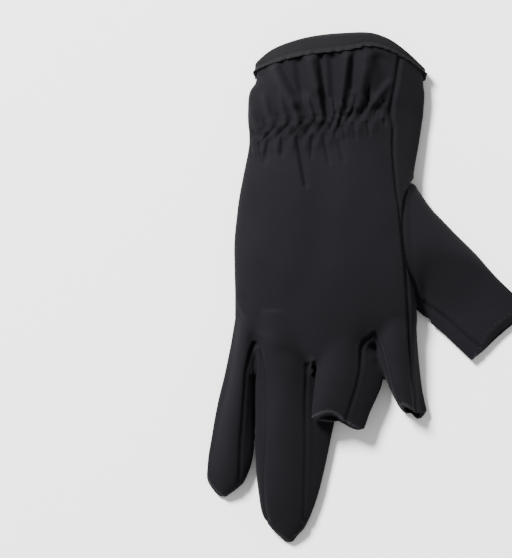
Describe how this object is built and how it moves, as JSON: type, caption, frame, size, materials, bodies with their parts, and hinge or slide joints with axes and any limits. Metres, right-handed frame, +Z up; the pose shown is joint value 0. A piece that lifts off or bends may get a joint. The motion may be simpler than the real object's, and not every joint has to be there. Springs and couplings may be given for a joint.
{
  "type": "three-cut fishing glove",
  "caption": "Right-hand foam-cloth fishing glove lying palm down: full ring and little fingers, cut-short open thumb, index and middle fingers, gathered wrist, taped cuff rim.",
  "frame": {"origin": "on the table under the middle of the glove's footprint", "axes": "+Z up through the back of the hand, +Y from the fingers to the cuff, +X towards the thumb"},
  "size_m": [0.162, 0.254, 0.0251],
  "materials": {
    "foam_cloth": "matt black knitted face on foam rubber, with a soft sheen",
    "binding_tape": "matt black woven stretch tape",
    "sewing_thread": "black polyester thread with a slight gloss",
    "grip_print": "satin grey rubber print on the palm"
  },
  "bodies": {
    "root": {"back_panel": "foam_cloth", "palm_panel": "foam_cloth", "thumb_panel": "foam_cloth", "fourchette_pinky_ring": "foam_cloth", "fourchette_ring_middle": "foam_cloth", "fourchette_middle_index": "foam_cloth", "wrist_binding": "binding_tape"}
  },
  "joints": []
}
